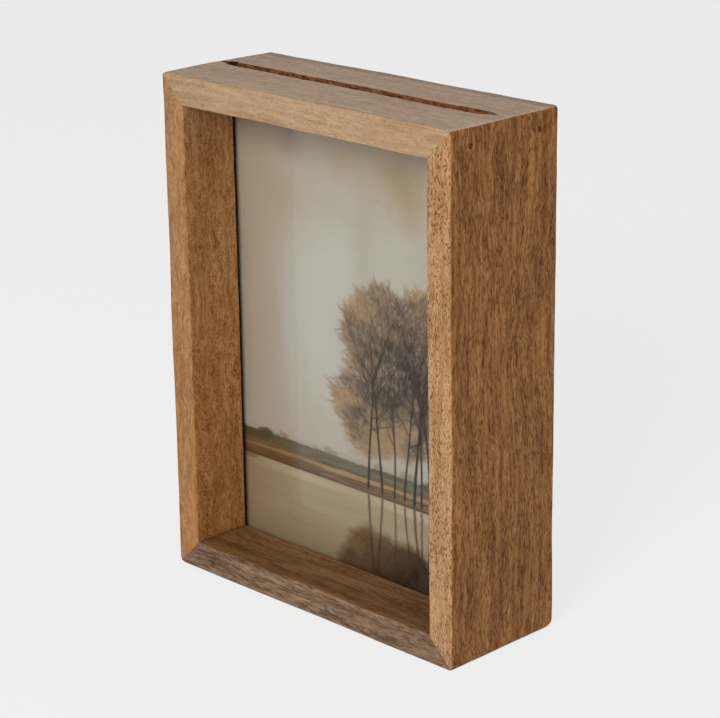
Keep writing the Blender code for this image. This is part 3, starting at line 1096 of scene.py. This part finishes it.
def make_print():
    """The print: a sheet of paper whose points carry the painting."""
    low, high = PRINT_LOW, PRINT_HIGH
    xs = grid_lines(low.x + INNER_RIGHT, high.x + INNER_RIGHT, PRINT_COLUMNS)
    zs = grid_lines(low.z - BOARD, high.z - BOARD, PRINT_ROWS)
    columns, rows = len(xs) - 1, len(zs) - 1
    deselect_all()
    bpy.ops.mesh.primitive_grid_add(x_subdivisions=columns, y_subdivisions=rows, size=1)
    sheet = bpy.context.object
    sheet.name = "lake_print"
    mesh = sheet.data
    flat = np.empty(len(mesh.vertices) * 3)
    mesh.vertices.foreach_get("co", flat)
    flat = flat.reshape(-1, 3)
    column = np.rint((flat[:, 0] + 0.5) * columns).astype(int)
    row = np.rint((flat[:, 1] + 0.5) * rows).astype(int)
    placed = np.stack([xs[column] - INNER_RIGHT, np.full(len(column), low.y), zs[row] + BOARD], axis=1)
    mesh.vertices.foreach_set("co", placed.astype(np.float32).ravel())
    mesh.update()

    art = Painting(xs, zs, seed=23)
    paint_sky(art)
    paint_land(art)
    paint_water(art)
    paint_trees(art)
    colours = np.ones((len(column), 4))
    colours[:, :3] = art.paper[row, column]
    attribute = mesh.color_attributes.new("paint", "FLOAT_COLOR", "POINT")
    attribute.data.foreach_set("color", colours.astype(np.float32).ravel())

    # The paper's thickness: its rim is drawn back and closed with one flat face.
    pick(sheet)
    bpy.ops.object.mode_set(mode="EDIT")
    bpy.ops.mesh.select_mode(type="EDGE")
    bpy.ops.mesh.select_all(action="DESELECT")
    bpy.ops.mesh.select_non_manifold()
    bpy.ops.mesh.extrude_region_move(TRANSFORM_OT_translate={"value": (0, high.y - low.y, 0)})
    bpy.ops.mesh.edge_face_add()
    bpy.ops.mesh.select_all(action="SELECT")
    bpy.ops.mesh.normals_make_consistent(inside=False)
    bpy.ops.object.mode_set(mode="OBJECT")
    mesh.materials.append(print_finish())
    finish_piece(sheet, "print", "print_paper", "print")


def print_finish():
    """Ink on matt paper, with the paper's fine grain. The back is bare paper."""
    n = Nodes("lake_print")
    ink = n.add("ShaderNodeVertexColor", layer_name="paint").outputs["Color"]
    grain = n.noise(n.place, 1500.0, 2.0, 0.7)
    inked = shaded(n, ink, n.ramp(grain, 0.25, 0.75, 0.93, 1.07, smooth=False))
    facing_back = n.ramp(n.split(n.add("ShaderNodeTexCoord").outputs["Normal"])[1], -0.5, 0.5)
    bare = n.mix(n.noise(n.place, 900.0, 3.0), (0.62, 0.60, 0.55), (0.68, 0.66, 0.61))
    n.link(n.mix(facing_back, inked, bare), n.shader.inputs["Base Color"])
    n.shader.inputs["Roughness"].default_value = 0.8
    n.shader.inputs["Specular IOR Level"].default_value = 0.1
    return n.material


# ---------------------------------------------------------------- stage

def set_light():
    """Even studio light from all round, a little weaker overhead, and one soft key lamp."""
    scene = bpy.context.scene
    scene.view_settings.view_transform = "Standard"
    world = bpy.data.worlds.new("studio")
    world.use_nodes = True
    scene.world = world
    tree = world.node_tree
    direction = tree.nodes.new("ShaderNodeTexCoord").outputs["Generated"]
    height = tree.nodes.new("ShaderNodeSeparateXYZ")
    tree.links.new(direction, height.inputs[0])
    fall = tree.nodes.new("ShaderNodeMapRange")
    tree.links.new(height.outputs["Z"], fall.inputs["Value"])
    fall.inputs["From Min"].default_value = 0.35
    fall.inputs["From Max"].default_value = 0.95
    fall.inputs["To Min"].default_value = 0.52
    fall.inputs["To Max"].default_value = 0.40
    background = tree.nodes["Background"]
    tree.links.new(fall.outputs["Result"], background.inputs["Strength"])
    background.inputs["Color"].default_value = (1, 1, 1, 1)

    add_softbox("key_softbox", (0.62, -1.35, 0.80), 0.7, 26.0)


def add_softbox(name, place, size, power):
    deselect_all()
    middle = Vector((0, 0, TOP / 2))
    turn = (middle - Vector(place)).to_track_quat("-Z", "Y").to_euler()
    bpy.ops.object.light_add(type="AREA", location=place, rotation=turn)
    lamp = bpy.context.object
    lamp.name = name
    lamp.data.shape = "SQUARE"
    lamp.data.size = size
    lamp.data.energy = power


def make_floor():
    """A plain pale floor that glows a little, so that it looks almost white."""
    deselect_all()
    bpy.ops.mesh.primitive_plane_add(size=30, location=(0, 0, 0))
    floor = bpy.context.object
    floor.name = "floor"
    n = Nodes("pale_floor")
    n.shader.inputs["Base Color"].default_value = (0.12, 0.12, 0.12, 1)
    n.shader.inputs["Roughness"].default_value = 1.0
    n.shader.inputs["Specular IOR Level"].default_value = 0.0
    n.shader.inputs["Emission Color"].default_value = (1, 1, 1, 1)
    n.shader.inputs["Emission Strength"].default_value = 0.76
    floor.data.materials.append(n.material)


def set_camera():
    """The camera stands to the right of the frame, above it, and leans by under a degree."""
    azimuth, elevation, lean = math.radians(45.555), math.radians(18.156), math.radians(-0.82)
    distance, right_shift, up_shift = 0.8779, 1.2 * MM, -3.67 * MM
    back = Vector((
        math.sin(azimuth) * math.cos(elevation),
        -math.cos(azimuth) * math.cos(elevation),
        math.sin(elevation),
    ))
    right = Vector((math.cos(azimuth), math.sin(azimuth), 0))
    up = back.cross(right)
    target = Vector((0, 0, TOP / 2)) + right * right_shift + up * up_shift
    leaning_right = right * math.cos(lean) + up * math.sin(lean)
    leaning_up = up * math.cos(lean) - right * math.sin(lean)
    data = bpy.data.cameras.new("camera")
    data.lens = 121.2
    data.sensor_width = 36
    data.clip_start, data.clip_end = 0.01, 100
    camera = bpy.data.objects.new("camera", data)
    bpy.context.scene.collection.objects.link(camera)
    turn = Matrix((leaning_right, leaning_up, back)).transposed()
    camera.matrix_world = Matrix.Translation(target + back * distance) @ turn.to_4x4()
    bpy.context.scene.camera = camera


set_camera()
set_light()
make_floor()
make_boards()
make_fillers()
finish_brads()
make_print()
make_pane("front_pane", GLASS_LOW, GLASS_HIGH, "front_glass")
make_pane("back_pane", BACK_GLASS_LOW, BACK_GLASS_HIGH, "back_glass")
